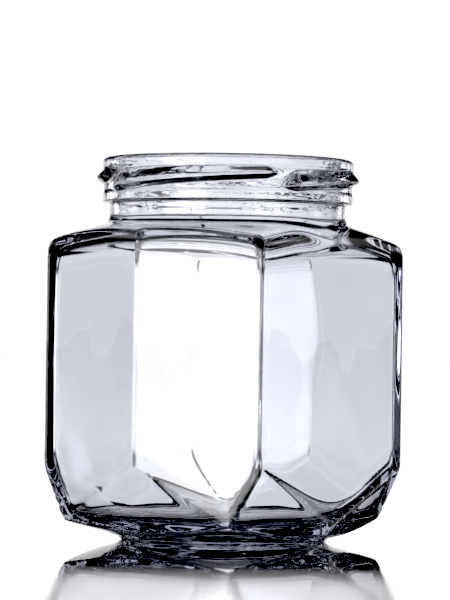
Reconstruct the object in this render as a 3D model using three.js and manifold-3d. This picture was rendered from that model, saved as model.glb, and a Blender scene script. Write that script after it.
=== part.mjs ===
import * as THREE from 'three';
import { mergeVertices } from 'three/addons/utils/BufferGeometryUtils.js';
import Module from 'manifold-3d';

// Clear glass jar with a stretched six-sided body, a faceted heel and a four-lug twist-off neck.
// All sizes are in millimetres. X runs along the long way of the body, Y across it, and Z up
// from the ring that the jar stands on. Angles are in degrees.

// Body
const BODY_LENGTH = 74.3; // from tip edge to tip edge
const BODY_DEPTH = 62.0; // from broad flat to broad flat
const FLAT_WIDTH = 60.2; // of each broad flat
const EDGE_RADIUS = 1.5; // of the six upright edges
const WALL = 2.3;
const INNER_EDGE_RADIUS = 1.2;

// Heel, where a triangle is cut off below each upright edge
const CUT_TOP = 17.6; // height where a cut leaves its upright edge
const CUT_FOOT = 4.4; // height where neighbouring cuts meet on a side
const SLANT_MEETING = 0.245; // share of a slanted side between its broad flat and that meeting
const CUT_WALL = 2.8;

// Base
const STAND_RADIUS = 24.2; // outside of the ring that the jar stands on
const STAND_WIDTH = 4.0;
const STAND_STEP = 1.0; // height and width of the step above the ring
const PUSH_UP = 0.9; // rise of the middle of the base
const UNDERSIDE_SLOPE = 0.285;
const FLOOR_HEIGHT = 6.0; // of the floor inside
const FLOOR_EASE = 1.6; // height and width of the eased corner round that floor

// Shoulder
const NECK_FOOT = 75.0; // height where the shoulder meets the neck
const SHOULDER_SLOPE = 0.29;
const FLAT_TOP = 72.5; // top of a broad flat, at its middle
const FLAT_ROOF_SLOPE = 0.94; // steeper slope of the shoulder above a broad flat
const BEVEL = 1.7; // height and depth of the eased edge round the shoulder
const BEVEL_PLANE_SHARE = 0.72; // share of a half side between its middle and its outer bevel planes
const SHOULDER_WALL = 2.5;

// Neck and lip
const HEIGHT = 90.3;
const NECK_RADIUS = 28.0;
const BEAD_FOOT = 79.6;
const FINISH_RADIUS = 29.5;
const BEAD_RADIUS = 29.7;
const BEAD_TOP = 82.0;
const LIP_FOOT = 87.7;
const LIP_RADIUS = 29.8;
const BORE_RADIUS = 26.6;
const LIP_ROUND = 1.1;

// Lugs
const LUG_COUNT = 4;
const LUG_FIRST = -34.5; // start of the first lug, from -Y towards +X
const LUG_SPAN = 97;
const LUG_START_HEIGHT = 82.0;
const LUG_END_HEIGHT = 86.2;
const LUG_CURVE = 0.6; // power of the climb, which flattens towards the end
const LUG_RADIUS = 31.25;
const LUG_ROOT = 28.3; // radius that the lug is rooted at, inside the neck wall
const LUG_BELOW = 1.4;
const LUG_ABOVE = 3.2; // less where the lip is nearer
const LUG_TAPER = 12; // length of each tapering end
const LUG_STEPS = 24;

const ROUND_SEGMENTS = 72;
const EDGE_SEGMENTS = 5;
const BLOCK = 160; // size of a block that cuts everything beyond a plane

const wasm = await Module();
wasm.setup();

function solid(geometry) {
  const plain = geometry.clone();
  plain.deleteAttribute('normal');
  plain.deleteAttribute('uv');
  const merged = mergeVertices(plain, 1e-4);
  return new wasm.Manifold(new wasm.Mesh({
    numProp: 3,
    vertProperties: new Float32Array(merged.attributes.position.array),
    triVerts: new Uint32Array(merged.index.array),
  }));
}

function geometryOf(manifold) {
  const mesh = manifold.getMesh();
  const geometry = new THREE.BufferGeometry();
  geometry.setAttribute('position', new THREE.BufferAttribute(mesh.vertProperties, 3));
  geometry.setIndex(new THREE.BufferAttribute(mesh.triVerts, 1));
  geometry.computeVertexNormals();
  return geometry;
}

// A solid of revolution about Z, from [radius, height] pairs that start and end on the axis.
function turned(profile) {
  const points = profile.map(([radius, height]) => new THREE.Vector2(radius, height));
  const geometry = new THREE.LatheGeometry(points, ROUND_SEGMENTS);
  geometry.rotateX(Math.PI / 2);
  return solid(geometry);
}

// Points on an arc in a profile, both ends included.
function arc(centreRadius, centreHeight, radius, fromDegrees, toDegrees, steps) {
  const points = [];
  for (let i = 0; i <= steps; i += 1) {
    const angle = THREE.MathUtils.degToRad(THREE.MathUtils.lerp(fromDegrees, toDegrees, i / steps));
    points.push([centreRadius + radius * Math.cos(angle), centreHeight + radius * Math.sin(angle)]);
  }
  return points;
}

// The six sides, anticlockwise from the slanted side between the +X tip and the +Y flat. Each is
// the angle of its outward normal and its distance from the axis.
const slantAngle = Math.atan2((BODY_LENGTH - FLAT_WIDTH) / 2, BODY_DEPTH / 2);
const slantDistance = (BODY_LENGTH / 2) * Math.cos(slantAngle);
const sides = [
  { angle: slantAngle, distance: slantDistance },
  { angle: Math.PI / 2, distance: BODY_DEPTH / 2 },
  { angle: Math.PI - slantAngle, distance: slantDistance },
  { angle: Math.PI + slantAngle, distance: slantDistance },
  { angle: 1.5 * Math.PI, distance: BODY_DEPTH / 2 },
  { angle: 2 * Math.PI - slantAngle, distance: slantDistance },
];

function side(index) {
  return sides[(index + sides.length) % sides.length];
}

// Where the side before the given one crosses it, with both sides moved inwards by the inset.
function corner(index, inset) {
  const before = side(index - 1);
  const after = side(index);
  const reach = 1 / Math.sin(after.angle - before.angle);
  const first = before.distance - inset;
  const second = after.distance - inset;
  return new THREE.Vector2(
    (first * Math.sin(after.angle) - second * Math.sin(before.angle)) * reach,
    (second * Math.cos(before.angle) - first * Math.cos(after.angle)) * reach,
  );
}

function outline(inset, radius) {
  const shape = new THREE.Shape();
  for (let i = 0; i < sides.length; i += 1) {
    const centre = corner(i, inset + radius);
    shape.absarc(centre.x, centre.y, radius, side(i - 1).angle, side(i).angle);
  }
  shape.closePath();
  return shape;
}

function prism(inset, radius, foot, top) {
  const geometry = new THREE.ExtrudeGeometry(outline(inset, radius), {
    depth: top - foot,
    bevelEnabled: false,
    curveSegments: EDGE_SEGMENTS,
  });
  geometry.translate(0, 0, foot);
  return solid(geometry);
}

// A block whose near face passes through a point, on the outer side of that plane.
function blockBeyond(point, normal, inset) {
  const outward = normal.clone().normalize();
  const geometry = new THREE.BoxGeometry(BLOCK, BLOCK, BLOCK);
  geometry.translate(0, 0, BLOCK / 2 - inset);
  geometry.applyQuaternion(new THREE.Quaternion().setFromUnitVectors(new THREE.Vector3(0, 0, 1), outward));
  geometry.translate(point.x, point.y, point.z);
  return solid(geometry);
}

// Where two neighbouring cuts of the heel meet on a side: half way along a broad flat, and near
// the broad flat's end of a slanted side.
function cutMeeting(index) {
  const shares = [1 - SLANT_MEETING, 0.5, SLANT_MEETING, 1 - SLANT_MEETING, 0.5, SLANT_MEETING];
  const share = shares[(index + shares.length) % shares.length];
  const start = corner(index, 0);
  const end = corner(index + 1, 0);
  return new THREE.Vector3(
    THREE.MathUtils.lerp(start.x, end.x, share),
    THREE.MathUtils.lerp(start.y, end.y, share),
    CUT_FOOT,
  );
}

function heelCuts(inset) {
  return sides.map((_, index) => {
    const edge = corner(index, 0);
    const top = new THREE.Vector3(edge.x, edge.y, CUT_TOP);
    const along = cutMeeting(index).sub(cutMeeting(index - 1));
    const up = top.clone().sub(cutMeeting(index));
    return blockBeyond(top, along.cross(up), inset);
  });
}

function shoulderHeight(radius) {
  return NECK_FOOT - SHOULDER_SLOPE * (radius - NECK_RADIUS);
}

function flatRoofs(inset) {
  return [1, -1].map((way) => blockBeyond(
    new THREE.Vector3(0, way * BODY_DEPTH / 2, FLAT_TOP),
    new THREE.Vector3(0, way * FLAT_ROOF_SLOPE, 1),
    inset,
  ));
}

// The eased edge between the sides and the shoulder, as three planes along each side.
function shoulderBevels() {
  return sides.flatMap(({ angle, distance }, index) => {
    const middle = corner(index, 0).add(corner(index + 1, 0)).multiplyScalar(0.5);
    const half = corner(index, 0).distanceTo(corner(index + 1, 0)) / 2;
    const outward = new THREE.Vector3(Math.cos(angle), Math.sin(angle), 0);
    const sideways = new THREE.Vector3(-Math.sin(angle), Math.cos(angle), 0);
    const flat = distance === BODY_DEPTH / 2;
    return [-1, 0, 1].map((way) => {
      const point = new THREE.Vector3(middle.x, middle.y, 0);
      point.addScaledVector(sideways, way * half * BEVEL_PLANE_SHARE);
      const radius = Math.hypot(point.x, point.y);
      const roofed = flat && shoulderHeight(radius) > FLAT_TOP;
      point.z = (roofed ? FLAT_TOP : shoulderHeight(radius)) - BEVEL;
      const ridge = sideways.clone().setZ(roofed ? 0 : -SHOULDER_SLOPE * point.dot(sideways) / radius);
      const inwards = outward.clone().negate().setZ(1);
      return blockBeyond(point, inwards.cross(ridge).negate(), 0);
    });
  });
}

// A lug is its section drawn out straight and then wrapped up round the neck.
function lug(startDegrees) {
  const reach = LUG_RADIUS - LUG_ROOT;
  const section = new THREE.Shape([
    new THREE.Vector2(0, -LUG_BELOW),
    new THREE.Vector2(reach * 0.42, -LUG_BELOW),
    new THREE.Vector2(reach * 0.94, -LUG_BELOW * 0.3),
    new THREE.Vector2(reach, 0),
    new THREE.Vector2(reach * 0.95, LUG_ABOVE * 0.22),
    new THREE.Vector2(reach * 0.42, LUG_ABOVE),
    new THREE.Vector2(0, LUG_ABOVE),
  ]);
  const geometry = new THREE.ExtrudeGeometry(section, { depth: 1, steps: LUG_STEPS, bevelEnabled: false });
  const position = geometry.attributes.position;
  for (let i = 0; i < position.count; i += 1) {
    const share = 1 - position.getZ(i);
    const turn = THREE.MathUtils.degToRad(startDegrees + LUG_SPAN * share);
    const endGap = Math.min(share, 1 - share) * LUG_SPAN;
    const swell = THREE.MathUtils.lerp(0.3, 1, THREE.MathUtils.smoothstep(endGap, 0, LUG_TAPER));
    const radius = LUG_ROOT + position.getX(i) * swell;
    const tip = THREE.MathUtils.lerp(LUG_START_HEIGHT, LUG_END_HEIGHT, share ** LUG_CURVE);
    const room = Math.min(1, (LIP_FOOT - tip) / LUG_ABOVE);
    const rise = position.getY(i) > 0 ? position.getY(i) * room : position.getY(i);
    const height = tip + rise * swell;
    position.setXYZ(i, radius * Math.sin(turn), -radius * Math.cos(turn), height);
  }
  return solid(geometry);
}

function outerBody() {
  const reach = BODY_LENGTH;
  const stepRadius = STAND_RADIUS + STAND_STEP;
  const envelope = turned([
    [0, PUSH_UP],
    [STAND_RADIUS - STAND_WIDTH - 2 * PUSH_UP, PUSH_UP],
    [STAND_RADIUS - STAND_WIDTH, 0],
    [STAND_RADIUS, 0],
    [stepRadius, STAND_STEP],
    [reach, STAND_STEP + UNDERSIDE_SLOPE * (reach - stepRadius)],
    [reach, shoulderHeight(reach)],
    [NECK_RADIUS, NECK_FOOT],
    [0, NECK_FOOT],
  ]);
  let body = prism(0, EDGE_RADIUS, 0, NECK_FOOT + 1).intersect(envelope);
  for (const block of [...heelCuts(0), ...flatRoofs(0), ...shoulderBevels()]) {
    body = body.subtract(block);
  }
  return body;
}

function neck() {
  return turned([
    [0, NECK_FOOT - 4],
    [NECK_RADIUS, NECK_FOOT - 4],
    [NECK_RADIUS, BEAD_FOOT - 0.3],
    [BEAD_RADIUS - 0.4, BEAD_FOOT],
    [BEAD_RADIUS, BEAD_FOOT + 0.5],
    [BEAD_RADIUS, BEAD_TOP - 0.4],
    [FINISH_RADIUS, BEAD_TOP],
    [FINISH_RADIUS, LIP_FOOT - 0.3],
    [LIP_RADIUS, LIP_FOOT],
    ...arc(LIP_RADIUS - LIP_ROUND, HEIGHT - LIP_ROUND, LIP_ROUND, 0, 90, 4),
    [0, HEIGHT],
  ]);
}

function bore() {
  const topRound = LIP_ROUND * 0.8;
  return turned([
    [0, NECK_FOOT - 9],
    [BORE_RADIUS, NECK_FOOT - 9],
    [BORE_RADIUS, HEIGHT - topRound],
    ...arc(BORE_RADIUS + topRound, HEIGHT - topRound, topRound, 180, 90, 3),
    [BORE_RADIUS + topRound, HEIGHT + 2],
    [0, HEIGHT + 2],
  ]);
}

// The eased corner between the floor inside and the walls, as one plane along each side.
function floorBevels() {
  return sides.map(({ angle, distance }) => {
    const outward = new THREE.Vector3(Math.cos(angle), Math.sin(angle), 0);
    const point = outward.clone().multiplyScalar(distance - WALL).setZ(FLOOR_HEIGHT + FLOOR_EASE);
    return blockBeyond(point, outward.setZ(-1), 0);
  });
}

// The hollow below the neck.
function chamber() {
  const reach = BODY_LENGTH;
  const inside = turned([
    [0, FLOOR_HEIGHT],
    [reach, FLOOR_HEIGHT],
    [reach, shoulderHeight(reach) - SHOULDER_WALL],
    [NECK_RADIUS - 1, shoulderHeight(NECK_RADIUS - 1) - SHOULDER_WALL],
    [0, shoulderHeight(NECK_RADIUS - 1) - SHOULDER_WALL],
  ]);
  let hollow = prism(WALL, INNER_EDGE_RADIUS, FLOOR_HEIGHT - 1, NECK_FOOT).intersect(inside);
  for (const block of [...heelCuts(CUT_WALL), ...flatRoofs(SHOULDER_WALL), ...floorBevels()]) {
    hollow = hollow.subtract(block);
  }
  return hollow;
}

let jar = outerBody().add(neck());
for (let i = 0; i < LUG_COUNT; i += 1) {
  jar = jar.add(lug(LUG_FIRST + (360 / LUG_COUNT) * i));
}
jar = jar.subtract(chamber()).subtract(bore());

const glass = new THREE.MeshStandardMaterial({
  color: 0xe9eef2,
  roughness: 0.04,
  metalness: 0,
  transparent: true,
  opacity: 0.45,
});

const glassJar = new THREE.Mesh(geometryOf(jar), glass);
glassJar.name = 'glass_jar';

const group = new THREE.Group();
group.add(glassJar);

export default group;
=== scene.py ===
import math
import bpy
import numpy as np
from mathutils import Matrix, Vector


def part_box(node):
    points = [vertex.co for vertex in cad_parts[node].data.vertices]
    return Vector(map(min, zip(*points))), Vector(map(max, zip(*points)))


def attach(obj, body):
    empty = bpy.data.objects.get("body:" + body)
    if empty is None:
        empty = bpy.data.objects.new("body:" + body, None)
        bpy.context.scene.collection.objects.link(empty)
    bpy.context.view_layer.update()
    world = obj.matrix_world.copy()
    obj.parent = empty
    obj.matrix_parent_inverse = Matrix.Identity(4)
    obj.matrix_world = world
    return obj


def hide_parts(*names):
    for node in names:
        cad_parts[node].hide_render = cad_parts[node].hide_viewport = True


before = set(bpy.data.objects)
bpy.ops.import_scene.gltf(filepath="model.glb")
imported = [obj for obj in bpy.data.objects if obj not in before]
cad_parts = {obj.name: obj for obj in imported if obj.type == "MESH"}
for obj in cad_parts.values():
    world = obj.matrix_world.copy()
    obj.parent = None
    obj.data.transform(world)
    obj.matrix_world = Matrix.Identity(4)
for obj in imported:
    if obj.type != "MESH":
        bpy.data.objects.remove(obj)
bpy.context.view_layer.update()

# Clear glass jar with a stretched six-sided body, a faceted heel and a four-lug twist-off neck.
# Shapes are worked out in millimetres, in the frame's axes, and go into Blender in metres. Values
# that end in EDGE or FILLET are sharpnesses per millimetre, so a lower one is a rounder edge, and
# those that end in EASE are half the height or width that a step takes.
MM = 0.001

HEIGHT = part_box("glass_jar")[1].z / MM

# Body
BODY_LENGTH = 74.3
BODY_DEPTH = 62.0
FLAT_WIDTH = 60.2
TIP_EDGE = 24.0  # of the edges at both tips
FLAT_EDGE = 2.75  # of the four edges beside the flats
WALL = 2.3
INNER_TIP_EDGE = 4.6
INNER_FLAT_EDGE = 2.0

# Heel
CUT_TOP = 17.6  # height where a facet leaves its upright edge
CUT_FOOT = 4.4  # height where neighbouring facets meet on a side
SLANT_MEETING = 0.245  # share of a slanted side between its broad flat and that meeting
CUT_EDGE = 4.0
INNER_CUT_EDGE = 2.0
CUT_WALL = 2.8

# Base
STAND_RADIUS = 24.2
STAND_WIDTH = 4.0
STAND_EDGE = 8.0
STAND_STEP = 1.0
STEP_EDGE = 4.0
PUSH_UP = 0.9
PUSH_UP_SLOPE = 0.7
UNDERSIDE_SLOPE = 0.285
UNDERSIDE_EDGE = 6.0
FLOOR_HEIGHT = 6.0
FLOOR_EDGE = 0.9
KNURLS = 80
KNURL_DEPTH = 0.28
KNURL_MARGIN = 0.5  # plain width beside the knurls
KNURL_EASE = 0.2

# Shoulder
NECK_FOOT = 75.0
SHOULDER_SLOPE = 0.29
FLAT_TOP = 72.5
FLAT_ROOF_SLOPE = 0.94
SHOULDER_EDGE = 1.0
INNER_SHOULDER_EDGE = 0.7
SHOULDER_WALL = 2.5
NECK_FILLET = 1.8

# Neck and lip
NECK_RADIUS = 28.0
NECK_ROOT = 8.0  # how far down into the body the neck's own forms reach
NECK_ROOT_EDGE = 2.0
BEAD_FOOT = 79.6
BEAD_FOOT_EASE = 0.16
BEAD_RADIUS = 29.7
BEAD_TOP = 82.0
BEAD_TOP_EASE = 0.3
FINISH_RADIUS = 29.5
LIP_FOOT = 87.7
LIP_FOOT_EASE = 0.25
LIP_RADIUS = 29.8
LIP_OUTER_ROUND = 1.2
LIP_INNER_ROUND = 1.0
BORE_RADIUS = 26.6
BORE_FILLET = 1.2

# Lugs, with angles from -Y towards +X
LUG_COUNT = 4
LUG_FIRST = math.radians(-34.5)
LUG_SPAN = math.radians(97)
LUG_START_HEIGHT = 82.0
LUG_END_HEIGHT = 86.2
LUG_CURVE = 0.6  # power of the climb, which flattens towards the end
LUG_RADIUS = 31.25
LUG_BELOW = 1.4
LUG_ABOVE = 3.2  # less where the lip is nearer
LUG_SLOPED_BELOW = 0.8  # share of the lower half that slopes
LUG_SLOPED_ABOVE = 0.9
LUG_CREST = 9.0  # sharpness of the crest
LUG_FOOT = 12.0  # and of the line where a lug leaves the neck
LUG_TAPER = math.radians(12)

# Uneven thickness of moulded glass, as the hollow's surface drifting in and out
DRIFTS = [
    # depth, turns round the jar, turns over the height, phase
    (0.06, 3, 0.8, 0.4),
    (0.05, 5, -1.3, 2.1),
    (0.035, 8, 1.7, 4.0),
    (0.02, 13, 3.1, 1.2),
]

# Surface of the glass
RIPPLE = 0.03  # height of the mould's ripples, in millimetres
RIPPLES = (60, 60, 16)  # per metre along X, Y and Z, so drawn out upwards
GRAIN = 0.06  # height of the grain, in millimetres
GRAINS = (900, 900, 900)
GRAIN_PATCHES = (160, 160, 320)
PATCH_FROM = 0.48  # noise value where a patch of grain starts
PATCH_FULL = 0.64
NECK_GRAIN_FROM = NECK_FOOT + 1
NECK_GRAIN_FULL = NECK_FOOT + 2.5
BASE_GRAIN_FROM = 3.0
BASE_GRAIN_FULL = 1.5
GRAIN_ROUGHNESS = 0.06
GLASS_IOR = 1.5
TINT = (0.74, 0.75, 0.82, 1)
TINT_DENSITY = 25.0

# Mesh
AROUND = 288
CORNER_CROWDING = 9.0  # how much closer the points lie at an upright edge
CORNER_ZONE = math.radians(2.6)
TURN_STEPS = 36000  # steps of the turn that the points are spaced out on
RAY_REACH = 60.0
RAY_HALVINGS = 34
NORMAL_GAP = 0.02
LIP_RINGS = 9

# Where the rays that find the surface start: a height for those that go straight down, a radius for
# level ones, and a radius and a height for a fan of them
DOWN_FROM = 9.0
LEVEL_FROM = 10.0
HEEL_FAN = (24.0, 12.0)
SHOULDER_FAN = (22.0, 66.0)
UNDER_SHOULDER_FAN = (12.0, 62.0)
BOWL_FAN = (14.0, 28.0)
FLOOR_FROM = 28.0

# Rings of the mesh as (from, to, count): radii on the base and the floor, heights on upright faces,
# and in a fan the climbs of its rays, in degrees
BASE_RADII = [(2, 18.6, 6)]
STAND_RADII = [(18.8, 26.2, 28)]
HEEL_CLIMBS = [(-77.5, 0, 40)]
SIDE_HEIGHTS = [(12, 20, 12), (20, 64, 6), (64, 66, 2)]
SHOULDER_CLIMBS = [(0, 56, 38)]
NECK_HEIGHTS = [(75.3, 79.2, 9), (79.2, 80.2, 8), (80.2, HEIGHT - 1.35, 38)]
BORE_HEIGHTS = [(HEIGHT - 1.2, 78, 3), (78, 71.5, 8)]
UNDER_SHOULDER_CLIMBS = [(33, 0, 18)]
INNER_SIDE_HEIGHTS = [(62, 28, 12)]
BOWL_CLIMBS = [(0, -28, 12), (-28, -62, 30), (-62, -88, 10)]
FLOOR_RADII = [(14, 1.5, 6)]


def smooth_max(values, sharpness):
    stack = np.stack(np.broadcast_arrays(*values))
    top = stack.max(0)
    return top + np.log(np.exp(sharpness * (stack - top)).sum(0)) / sharpness


def smooth_min(values, sharpness):
    return -smooth_max([-v for v in values], sharpness)


def step(value, ease):
    return 0.5 + 0.5 * np.tanh(value / ease)


# The six sides, anticlockwise from the slanted side between the +X tip and the +Y flat, each as the
# angle of its outward normal and its distance from the axis
slant = math.atan2((BODY_LENGTH - FLAT_WIDTH) / 2, BODY_DEPTH / 2)
slant_distance = BODY_LENGTH / 2 * math.cos(slant)
SIDES = [
    (slant, slant_distance),
    (math.pi / 2, BODY_DEPTH / 2),
    (math.pi - slant, slant_distance),
    (math.pi + slant, slant_distance),
    (1.5 * math.pi, BODY_DEPTH / 2),
    (2 * math.pi - slant, slant_distance),
]
MEETINGS = [1 - SLANT_MEETING, 0.5, SLANT_MEETING] * 2


def corner(index):
    """Where the side before the given one crosses it."""
    (a, first), (b, second) = SIDES[index - 1], SIDES[index % 6]
    reach = 1 / math.sin(b - a)
    return np.array([
        (first * math.sin(b) - second * math.sin(a)) * reach,
        (second * math.cos(a) - first * math.cos(b)) * reach,
    ])


def cut_meeting(index):
    """Where two neighbouring facets of the heel meet on a side."""
    start, end = corner(index), corner(index + 1)
    return np.append(start + (end - start) * MEETINGS[index], CUT_FOOT)


def heel_cut(index):
    """Outward normal and distance of the triangular facet below an upright edge."""
    foot, other = cut_meeting(index), cut_meeting((index - 1) % 6)
    top = np.append(corner(index), CUT_TOP)
    normal = np.cross(foot - other, top - foot)
    normal /= np.linalg.norm(normal)
    return normal, normal @ top


CUTS = [heel_cut(i) for i in range(6)]


def six_sides(x, y, inset, tip_edge, flat_edge):
    sides = [x * math.cos(a) + y * math.sin(a) - d + inset for a, d in SIDES]
    tips = [smooth_max([sides[a], sides[b]], tip_edge) for a, b in ((0, 5), (2, 3))]
    return smooth_max([*tips, sides[1], sides[4]], flat_edge)


def cut_planes(x, y, z, inset):
    return [x * n[0] + y * n[1] + z * n[2] - d + inset for n, d in CUTS]


def roof_planes(y, z, inset):
    reach = math.hypot(1, FLAT_ROOF_SLOPE)
    return [(z - FLAT_TOP + FLAT_ROOF_SLOPE * (way * y - BODY_DEPTH / 2)) / reach + inset for way in (1, -1)]


def shoulder_cone(r, z, inset):
    return (z - NECK_FOOT + SHOULDER_SLOPE * (r - NECK_RADIUS)) / math.hypot(1, SHOULDER_SLOPE) + inset


def underside_height(x, y, r):
    """Height of the base's underside: push-up, knurled stand ring, step and cone."""
    inner = STAND_RADIUS - STAND_WIDTH
    cone = STAND_STEP + UNDERSIDE_SLOPE * (r - STAND_RADIUS - STAND_STEP)
    outer_slope = smooth_min([cone, r - STAND_RADIUS], STEP_EDGE)
    inner_slope = smooth_min([np.full_like(r, PUSH_UP), (inner - r) * PUSH_UP_SLOPE], STEP_EDGE)
    height = smooth_max([np.zeros_like(r), outer_slope, inner_slope], STAND_EDGE) - math.log(3) / STAND_EDGE
    from_middle = np.abs(r - (inner + STAND_RADIUS) / 2)
    knurled = step(STAND_WIDTH / 2 - KNURL_MARGIN - from_middle, KNURL_EASE)
    grooves = (0.5 - 0.5 * np.cos(KNURLS * np.arctan2(y, x))) ** 2
    return height + KNURL_DEPTH * knurled * grooves


def lug_swell(turn, z, index):
    """How far a lug stands out at a place, from 0 on the neck to 1 on its crest."""
    gone = (turn - LUG_FIRST - index * 2 * math.pi / LUG_COUNT) % (2 * math.pi)
    share = np.clip(gone / LUG_SPAN, 0, 1)
    tip = LUG_START_HEIGHT + (LUG_END_HEIGHT - LUG_START_HEIGHT) * share ** LUG_CURVE
    ends = np.clip(np.minimum(gone, LUG_SPAN - gone) / LUG_TAPER, 0, 1)
    taper = ends * ends * (3 - 2 * ends)
    above = z - tip
    crest = smooth_min([
        np.full_like(z, 1.0),
        (taper + above / LUG_BELOW) / LUG_SLOPED_BELOW,
        (taper - above / np.minimum(LUG_ABOVE, LIP_FOOT - tip)) / LUG_SLOPED_ABOVE,
    ], LUG_CREST)
    return taper * smooth_max([crest, np.zeros_like(z)], LUG_FOOT)


def neck_radius(x, y, z):
    """Outer radius of the neck at a height, with bead, finish, lip band and lugs."""
    turn = np.arctan2(x, -y)
    radius = (
        NECK_RADIUS
        + (BEAD_RADIUS - NECK_RADIUS) * step(z - BEAD_FOOT, BEAD_FOOT_EASE)
        + (FINISH_RADIUS - BEAD_RADIUS) * step(z - BEAD_TOP, BEAD_TOP_EASE)
        + (LIP_RADIUS - FINISH_RADIUS) * step(z - LIP_FOOT, LIP_FOOT_EASE)
    )
    for index in range(LUG_COUNT):
        radius = radius + (LUG_RADIUS - FINISH_RADIUS) * lug_swell(turn, z, index)
    return radius


def outside(p):
    """Negative inside the jar's outer form, up to the lip's rounding."""
    x, y, z = p[..., 0], p[..., 1], p[..., 2]
    r = np.hypot(x, y)
    prism = six_sides(x, y, 0, TIP_EDGE, FLAT_EDGE)
    body = smooth_max([prism, *cut_planes(x, y, z, 0)], CUT_EDGE)
    under = (underside_height(x, y, r) - z) / math.hypot(1, UNDERSIDE_SLOPE)
    body = smooth_max([body, under], UNDERSIDE_EDGE)
    body = smooth_max([body, shoulder_cone(r, z, 0), *roof_planes(y, z, 0)], SHOULDER_EDGE)
    neck = smooth_max([r - neck_radius(x, y, z), NECK_FOOT - NECK_ROOT - z], NECK_ROOT_EDGE)
    return smooth_min([body, neck], NECK_FILLET)


def hollow(p):
    """Negative inside the jar's hollow, up to the lip's rounding."""
    x, y, z = p[..., 0], p[..., 1], p[..., 2]
    r = np.hypot(x, y)
    prism = six_sides(x, y, WALL, INNER_TIP_EDGE, INNER_FLAT_EDGE)
    chamber = smooth_max([prism, *cut_planes(x, y, z, CUT_WALL)], INNER_CUT_EDGE)
    chamber = smooth_max([chamber, FLOOR_HEIGHT - z], FLOOR_EDGE)
    top = [shoulder_cone(r, z, SHOULDER_WALL), *roof_planes(y, z, SHOULDER_WALL)]
    chamber = smooth_max([chamber, *top], INNER_SHOULDER_EDGE)
    turn = np.arctan2(y, x)
    for depth, around, along, phase in DRIFTS:
        chamber = chamber + depth * np.cos(around * turn + along * 2 * math.pi * z / HEIGHT + phase)
    bore = smooth_max([r - BORE_RADIUS, NECK_FOOT - NECK_ROOT - z], NECK_ROOT_EDGE)
    return smooth_min([chamber, bore], BORE_FILLET)


def azimuths():
    """Angles round the jar, crowded at the six upright edges."""
    corners = [math.atan2(*corner(i)[::-1]) for i in range(6)]
    fine = np.linspace(0, 2 * math.pi, TURN_STEPS + 1)
    gaps = [np.abs((fine - c + math.pi) % (2 * math.pi) - math.pi) for c in corners]
    density = 1 + CORNER_CROWDING * sum(np.exp(-(g / CORNER_ZONE) ** 2) for g in gaps)
    travelled = np.concatenate([[0], np.cumsum((density[1:] + density[:-1]) / 2)])
    return np.interp(np.arange(AROUND) / AROUND, travelled / travelled[-1], fine)


def doubled(turns):
    """The same angles with one more half way to each next one."""
    following = np.append(turns[1:], turns[0] + 2 * math.pi)
    return np.stack([turns, (turns + following) / 2], -1).ravel()


def spread(stops):
    """Values from one stop to the next, each stretch without its last value."""
    return np.concatenate([np.linspace(a, b, n, endpoint=False) for a, b, n in stops])


def straight_down(stops, height):
    return [(radius, height, -90.0) for radius in spread(stops)]


def level(stops):
    return [(LEVEL_FROM, height, 0.0) for height in spread(stops)]


def fan(stops, start):
    return [(*start, climb) for climb in spread(stops)]


def cast(form, turns, rays):
    """Rings where rays, given as radius, height and climb in degrees, leave the form."""
    start = np.array(rays)
    climb = np.radians(start[:, 2])
    ray_out, ray_up = np.cos(climb)[:, None], np.sin(climb)[:, None]
    cos, sin = np.cos(turns)[None, :], np.sin(turns)[None, :]

    def point(t):
        out = start[:, 0:1] + t * ray_out
        return np.stack([out * cos, out * sin, start[:, 1:2] + t * ray_up + 0 * cos], -1)
    near = np.zeros((len(start), len(turns)))
    far = near + RAY_REACH
    for _ in range(RAY_HALVINGS):
        middle = (near + far) / 2
        inside = form(point(middle)) < 0
        near = np.where(inside, middle, near)
        far = np.where(inside, far, middle)
    return point((near + far) / 2)


def slope_normals(form, points, way):
    """Unit normals of a form at its surface, way 1 for outwards and -1 for into a hollow."""
    normal = np.stack([
        form(points + NORMAL_GAP * axis) - form(points - NORMAL_GAP * axis) for axis in np.eye(3)
    ], -1)
    return way * normal / np.linalg.norm(normal, axis=-1, keepdims=True)


def lip_rings(turns):
    """The rounded lip, from its outer face over the top and into the bore."""
    rings, normals = [], []
    ones = np.ones_like(turns)
    for centre, size, start, end in (
        (LIP_RADIUS - LIP_OUTER_ROUND, LIP_OUTER_ROUND, 0, 90),
        (BORE_RADIUS + LIP_INNER_ROUND, LIP_INNER_ROUND, 90, 180),
    ):
        for angle in np.radians(np.linspace(start, end, LIP_RINGS)):
            out = centre + size * math.cos(angle)
            height = HEIGHT - size + size * math.sin(angle)
            rings.append(np.stack([out * np.cos(turns), out * np.sin(turns), height * ones], -1))
            normals.append(np.stack([
                math.cos(angle) * np.cos(turns), math.cos(angle) * np.sin(turns), math.sin(angle) * ones,
            ], -1))
    return np.array(rings), np.array(normals)


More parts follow.
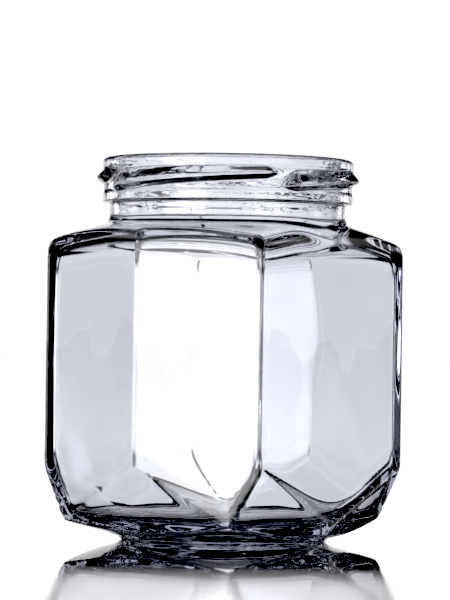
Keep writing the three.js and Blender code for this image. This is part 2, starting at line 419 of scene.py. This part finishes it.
def jar_rings(turns):
    """Rings and their normals, in runs, from the middle of the base out and over to the floor inside."""
    base = straight_down(BASE_RADII, DOWN_FROM)
    stand = straight_down(STAND_RADII, DOWN_FROM)
    heel = fan(HEEL_CLIMBS, HEEL_FAN)
    side = level(SIDE_HEIGHTS)
    shoulder = fan(SHOULDER_CLIMBS, SHOULDER_FAN)
    neck = level(NECK_HEIGHTS)
    runs = []
    for rays, around in ((base, turns), (stand, doubled(turns)), (heel + side + shoulder + neck, turns)):
        points = cast(outside, around, rays)
        runs.append((points, slope_normals(outside, points, 1)))
    lip, lip_normals = lip_rings(turns)
    bore = level(BORE_HEIGHTS)
    under_shoulder = fan(UNDER_SHOULDER_CLIMBS, UNDER_SHOULDER_FAN)
    inner_side = level(INNER_SIDE_HEIGHTS)
    bowl = fan(BOWL_CLIMBS, BOWL_FAN)
    floor_inside = straight_down(FLOOR_RADII, FLOOR_FROM)
    inner = cast(hollow, turns, bore + under_shoulder + inner_side + bowl + floor_inside)
    last, last_normals = runs.pop()
    runs.append((
        np.concatenate([last, lip, inner]),
        np.concatenate([last_normals, lip_normals, slope_normals(hollow, inner, -1)]),
    ))
    return runs


def ring_faces(lower, upper):
    """Faces between two rings of vertex numbers, where one ring may have twice as many as the other."""
    after_lower, after_upper = np.roll(lower, -1), np.roll(upper, -1)
    if len(lower) == len(upper):
        return np.stack([lower, after_lower, after_upper, upper], -1).tolist()
    if len(lower) < len(upper):
        even, odd, after = upper[0::2], upper[1::2], after_upper[1::2]
        return np.stack([lower, after_lower, after, odd, even], -1).tolist()
    even, odd, after = lower[0::2], lower[1::2], after_lower[1::2]
    return np.stack([even, odd, after, after_upper, upper], -1).tolist()


def closed_jar():
    """One closed mesh, from the middle of the base out, over the lip and down to the floor inside."""
    runs = jar_rings(azimuths())
    points = [np.array([[0, 0, runs[0][0][0, :, 2].mean()], [0, 0, runs[-1][0][-1, :, 2].mean()]])]
    normals = [np.array([[0, 0, -1], [0, 0, 1]])]
    faces, rings, count = [], [], 2
    for ring_points, ring_normals in runs:
        for one, its_normals in zip(ring_points, ring_normals):
            points.append(one)
            normals.append(its_normals)
            rings.append(np.arange(count, count + len(one)))
            count += len(one)
    for lower, upper in zip(rings[:-1], rings[1:]):
        faces += ring_faces(lower, upper)
    faces += [[0, int(b), int(a)] for a, b in zip(rings[0], np.roll(rings[0], -1))]
    faces += [[1, int(a), int(b)] for a, b in zip(rings[-1], np.roll(rings[-1], -1))]
    mesh = bpy.data.meshes.new("glass_body")
    mesh.from_pydata((np.concatenate(points) * MM).tolist(), [], faces)
    mesh.polygons.foreach_set("use_smooth", [True] * len(mesh.polygons))
    mesh.normals_split_custom_set_from_vertices(np.concatenate(normals).tolist())
    mesh.update()
    jar = bpy.data.objects.new("glass_body", mesh)
    bpy.context.scene.collection.objects.link(jar)
    return jar


def empty_tree(owner):
    """The node tree of a material or world, with nothing in it."""
    owner.use_nodes = True
    owner.node_tree.nodes.clear()
    return owner.node_tree


def add_node(tree, kind, **settings):
    node = tree.nodes.new(kind)
    for name, value in settings.items():
        setattr(node, name, value)
    return node


def feed(tree, socket, value):
    """Link a node's output to an input, or set the input to a plain value."""
    if isinstance(value, bpy.types.NodeSocket):
        tree.links.new(value, socket)
    else:
        socket.default_value = value


def calculate(tree, operation, *values):
    node = add_node(tree, "ShaderNodeMath", operation=operation)
    for socket, value in zip(node.inputs, values):
        feed(tree, socket, value)
    return node.outputs[0]


def fade(tree, value, start, end):
    """An eased rise from 0 where the value is at its start to 1 at its end."""
    node = add_node(tree, "ShaderNodeMapRange", interpolation_type="SMOOTHSTEP")
    feed(tree, node.inputs["Value"], value)
    feed(tree, node.inputs["From Min"], start)
    feed(tree, node.inputs["From Max"], end)
    return node.outputs["Result"]


def choose(tree, kind, switch, first, second):
    """The first value where the switch is 0 and the second where it is 1."""
    node = add_node(tree, "ShaderNodeMix", data_type=kind)
    feed(tree, node.inputs["Factor"], switch)
    sockets = [i for i in node.inputs if i.enabled and i.name in "AB"]
    for socket, value in zip(sockets, (first, second)):
        feed(tree, socket, value)
    return next(o for o in node.outputs if o.enabled)


def noise(tree, place, frequencies, detail=2.0):
    scaled = add_node(tree, "ShaderNodeMapping")
    feed(tree, scaled.inputs["Scale"], frequencies)
    feed(tree, scaled.inputs["Vector"], place)
    made = add_node(tree, "ShaderNodeTexNoise")
    feed(tree, made.inputs["Scale"], 1.0)
    feed(tree, made.inputs["Detail"], detail)
    feed(tree, made.inputs["Vector"], scaled.outputs["Vector"])
    return made.outputs["Fac"]


def clear_glass():
    """Clear glass with a trace of grey, rippled by its mould and grainy on the neck and round the base."""
    material = bpy.data.materials.new("clear_glass")
    tree = empty_tree(material)
    output = add_node(tree, "ShaderNodeOutputMaterial")
    glass = add_node(tree, "ShaderNodeBsdfPrincipled")
    glass.inputs["Base Color"].default_value = (1, 1, 1, 1)
    glass.inputs["IOR"].default_value = GLASS_IOR
    glass.inputs["Transmission Weight"].default_value = 1.0
    tree.links.new(glass.outputs["BSDF"], output.inputs["Surface"])
    tint = add_node(tree, "ShaderNodeVolumeAbsorption")
    tint.inputs["Color"].default_value = TINT
    tint.inputs["Density"].default_value = TINT_DENSITY
    tree.links.new(tint.outputs["Volume"], output.inputs["Volume"])
    place = add_node(tree, "ShaderNodeTexCoord").outputs["Object"]
    parts = add_node(tree, "ShaderNodeSeparateXYZ")
    tree.links.new(place, parts.inputs[0])
    height = parts.outputs["Z"]
    on_neck = fade(tree, height, NECK_GRAIN_FROM * MM, NECK_GRAIN_FULL * MM)
    on_base = fade(tree, height, BASE_GRAIN_FROM * MM, BASE_GRAIN_FULL * MM)
    grainy = calculate(tree, "MAXIMUM", on_neck, on_base)
    patches = fade(tree, noise(tree, place, GRAIN_PATCHES), PATCH_FROM, PATCH_FULL)
    grainy = calculate(tree, "MULTIPLY", grainy, patches)
    ripple = calculate(tree, "MULTIPLY", noise(tree, place, RIPPLES, detail=1.0), RIPPLE)
    grain = calculate(tree, "MULTIPLY", noise(tree, place, GRAINS), GRAIN)
    relief = calculate(tree, "ADD", ripple, calculate(tree, "MULTIPLY", grain, grainy))
    bump = add_node(tree, "ShaderNodeBump")
    bump.inputs["Distance"].default_value = MM
    tree.links.new(relief, bump.inputs["Height"])
    tree.links.new(bump.outputs["Normal"], glass.inputs["Normal"])
    tree.links.new(calculate(tree, "MULTIPLY", grainy, GRAIN_ROUGHNESS), glass.inputs["Roughness"])
    return material


# Studio floor, with lengths in metres. A facing value is 1 along the floor and 0 straight down.
FLOOR_SIZE = 60
FLOOR_DROP = 0.0001
MATT_COLOUR = (0.9, 0.9, 0.9, 1)
MATT_ROUGHNESS = 0.08
POLISHED_COLOUR = (0.96, 0.96, 0.96, 1)
POLISHED_ROUGHNESS = 0.02
POLISHED_TO = 0.3  # distance from the jar's middle up to which the polish shows in the glass
MATT_FROM = 0.7
REFLECTION_TO = 0.08  # distance up to which the camera sees the full reflection
REFLECTION_GONE = 0.155
SEEN_POLISHED = 0.9  # facing value above which the camera sees the polish
SEEN_MATT = 0.8
BESIDE_FROM = 0.045  # distance beyond which the floor turns matt from above
BESIDE_FULL = 0.09
STEEP_FROM = 0.5  # facing value below which a ray counts as from above
STEEP_FULL = 0.3


def make_floor():
    """A pale floor, polished where the jar stands and matt white further out and from above."""
    bpy.ops.mesh.primitive_plane_add(size=FLOOR_SIZE)
    floor = bpy.context.object
    floor.name = "floor"
    material = bpy.data.materials.new("polished_white")
    tree = empty_tree(material)
    output = add_node(tree, "ShaderNodeOutputMaterial")
    mix = add_node(tree, "ShaderNodeMixShader")
    matt = add_node(tree, "ShaderNodeBsdfPrincipled")
    matt.inputs["Base Color"].default_value = MATT_COLOUR
    matt.inputs["Roughness"].default_value = MATT_ROUGHNESS
    polished = add_node(tree, "ShaderNodeBsdfPrincipled")
    polished.inputs["Base Color"].default_value = POLISHED_COLOUR
    polished.inputs["Metallic"].default_value = 1.0
    polished.inputs["Roughness"].default_value = POLISHED_ROUGHNESS
    length = add_node(tree, "ShaderNodeVectorMath", operation="LENGTH")
    tree.links.new(add_node(tree, "ShaderNodeTexCoord").outputs["Object"], length.inputs[0])
    away = length.outputs["Value"]
    weight = add_node(tree, "ShaderNodeLayerWeight")
    weight.inputs["Blend"].default_value = 0.5
    facing = weight.outputs["Facing"]
    path = add_node(tree, "ShaderNodeLightPath")
    from_above = fade(tree, facing, SEEN_POLISHED, SEEN_MATT)
    seen = calculate(tree, "MAXIMUM", from_above, fade(tree, away, REFLECTION_TO, REFLECTION_GONE))
    seen = calculate(tree, "MULTIPLY", seen, path.outputs["Is Camera Ray"])
    beside = fade(tree, away, BESIDE_FROM, BESIDE_FULL)
    steep = calculate(tree, "MULTIPLY", fade(tree, facing, STEEP_FROM, STEEP_FULL), beside)
    share = calculate(tree, "MAXIMUM", fade(tree, away, POLISHED_TO, MATT_FROM), seen)
    share = calculate(tree, "MAXIMUM", share, steep)
    tree.links.new(share, mix.inputs["Fac"])
    tree.links.new(polished.outputs["BSDF"], mix.inputs[1])
    tree.links.new(matt.outputs["BSDF"], mix.inputs[2])
    tree.links.new(mix.outputs["Shader"], output.inputs["Surface"])
    floor.data.materials.append(material)
    floor.location.z = -FLOOR_DROP
    return floor


# Camera, with lengths in metres
CAMERA_TURN = math.radians(-55.5)
CAMERA_DISTANCE = 0.784
EYE_HEIGHT = 0.0475
AIM_HEIGHT = 0.0569
AIM_LEFT = 0.00032
CAMERA_ROLL = math.radians(0.85)
LENS = 198.0
SENSOR_WIDTH = 36
FARTHEST = 100


def make_camera():
    data = bpy.data.cameras.new("camera")
    data.lens = LENS
    data.sensor_width = SENSOR_WIDTH
    data.clip_end = FARTHEST
    camera = bpy.data.objects.new("camera", data)
    bpy.context.scene.collection.objects.link(camera)
    away = Vector((math.sin(CAMERA_TURN), -math.cos(CAMERA_TURN), 0))
    right = Vector((math.cos(CAMERA_TURN), math.sin(CAMERA_TURN), 0))
    camera.location = away * CAMERA_DISTANCE + Vector((0, 0, EYE_HEIGHT))
    aim = Vector((0, 0, AIM_HEIGHT)) - right * AIM_LEFT
    look = (aim - camera.location).to_track_quat("-Z", "Y").to_matrix()
    camera.rotation_euler = (look @ Matrix.Rotation(CAMERA_ROLL, 3, "Z")).to_euler()
    bpy.context.scene.camera = camera


# Studio light, as panels round the jar: bearing from -Y towards +X, half width, lowest and highest
# angle above the floor, softness of the edges, all in degrees, and brightness.
LOOK = 124.5  # bearing that the camera looks along
PANELS = [
    # backdrop, then a bright and a wide panel on the camera's side
    (LOOK + 1, 12, -90, 20, 5, 1.04),
    (LOOK + 138, 22, -90, 11, 10, 6.0),
    (LOOK + 165, 75, -90, 11, 12, 2.0),
    # low bands behind and beside the jar, which light its upright walls
    (LOOK + 0, 28, -90, 4, 4, 1.04),
    (LOOK + 38, 6, -90, 4, 4, 3.0),
    (LOOK - 37, 6, -90, 4, 4, 3.0),
    (LOOK + 110, 14, -90, 4, 4, 2.8),
    (LOOK + 73, 7, -90, 4, 3, 3.0),
    # overhead light, and a raised ring that opens behind the jar
    (LOOK, 180, 64, 90, 10, 1.0),
    (LOOK + 180, 138, 9, 26, 8, 1.0),
]
PANELS += [(bearing, 5, -90, 6, 3, 0.8) for bearing in range(45, 360, 45)]
DARK = 0.004
FLOOR_LIGHT = 1.15
BACKGROUND = 1.04
SEEN_THROUGH_GLASS = (0.755, 0.765, 0.84, 1)
WHITE = (1, 1, 1, 1)


def panel_light(tree, bearing, climb, panel):
    centre, half, low, high, soft, brightness = panel
    turned = calculate(tree, "WRAP", calculate(tree, "SUBTRACT", bearing, float(centre)), 180.0, -180.0)
    across = fade(tree, calculate(tree, "ABSOLUTE", turned), half + soft / 2, half - soft / 2)
    above = fade(tree, climb, low - soft / 2, low + soft / 2)
    below = fade(tree, climb, high + soft / 2, high - soft / 2)
    share = calculate(tree, "MULTIPLY", calculate(tree, "MULTIPLY", above, below), across)
    return calculate(tree, "MULTIPLY", share, brightness)


def make_world():
    """A dark studio with its panels, which the glass tints, a white background and an evenly lit floor."""
    world = bpy.data.worlds.new("studio")
    bpy.context.scene.world = world
    tree = empty_tree(world)
    parts = add_node(tree, "ShaderNodeSeparateXYZ")
    tree.links.new(add_node(tree, "ShaderNodeTexCoord").outputs["Generated"], parts.inputs[0])
    x, y, z = parts.outputs
    degree = 180 / math.pi
    turn = calculate(tree, "ARCTAN2", x, calculate(tree, "MULTIPLY", y, -1.0))
    bearing = calculate(tree, "MULTIPLY", turn, degree)
    climb = calculate(tree, "MULTIPLY", calculate(tree, "ARCSINE", z), degree)
    light = DARK
    for panel in PANELS:
        light = calculate(tree, "MAXIMUM", light, panel_light(tree, bearing, climb, panel))
    path = add_node(tree, "ShaderNodeLightPath")
    through = calculate(tree, "GREATER_THAN", path.outputs["Transmission Depth"], 0.5)
    spread_out = calculate(tree, "GREATER_THAN", path.outputs["Diffuse Depth"], 0.5)
    light = choose(tree, "FLOAT", path.outputs["Is Camera Ray"], light, BACKGROUND)
    light = choose(tree, "FLOAT", spread_out, light, FLOOR_LIGHT)
    background = add_node(tree, "ShaderNodeBackground")
    tree.links.new(light, background.inputs["Strength"])
    tint = choose(tree, "RGBA", through, WHITE, SEEN_THROUGH_GLASS)
    tree.links.new(tint, background.inputs["Color"])
    output = add_node(tree, "ShaderNodeOutputWorld")
    tree.links.new(background.outputs[0], output.inputs["Surface"])


# Few bounces keep light from running along inside the walls, which leaves the jar's edges dark.
BOUNCES = 8
DARKEST = 0.06
LIGHTEST = 0.97


def set_view():
    scene = bpy.context.scene
    scene.cycles.max_bounces = BOUNCES
    scene.cycles.transmission_bounces = BOUNCES
    scene.cycles.glossy_bounces = BOUNCES
    scene.view_settings.view_transform = "Standard"
    scene.view_settings.use_curve_mapping = True
    tones = scene.view_settings.curve_mapping
    tones.black_level = (DARKEST, DARKEST, DARKEST)
    tones.white_level = (LIGHTEST, LIGHTEST, LIGHTEST)
    tones.update()


jar = closed_jar()
jar.data.materials.append(clear_glass())
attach(jar, "root")
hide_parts("glass_jar")

floor = make_floor()
make_camera()
make_world()
set_view()
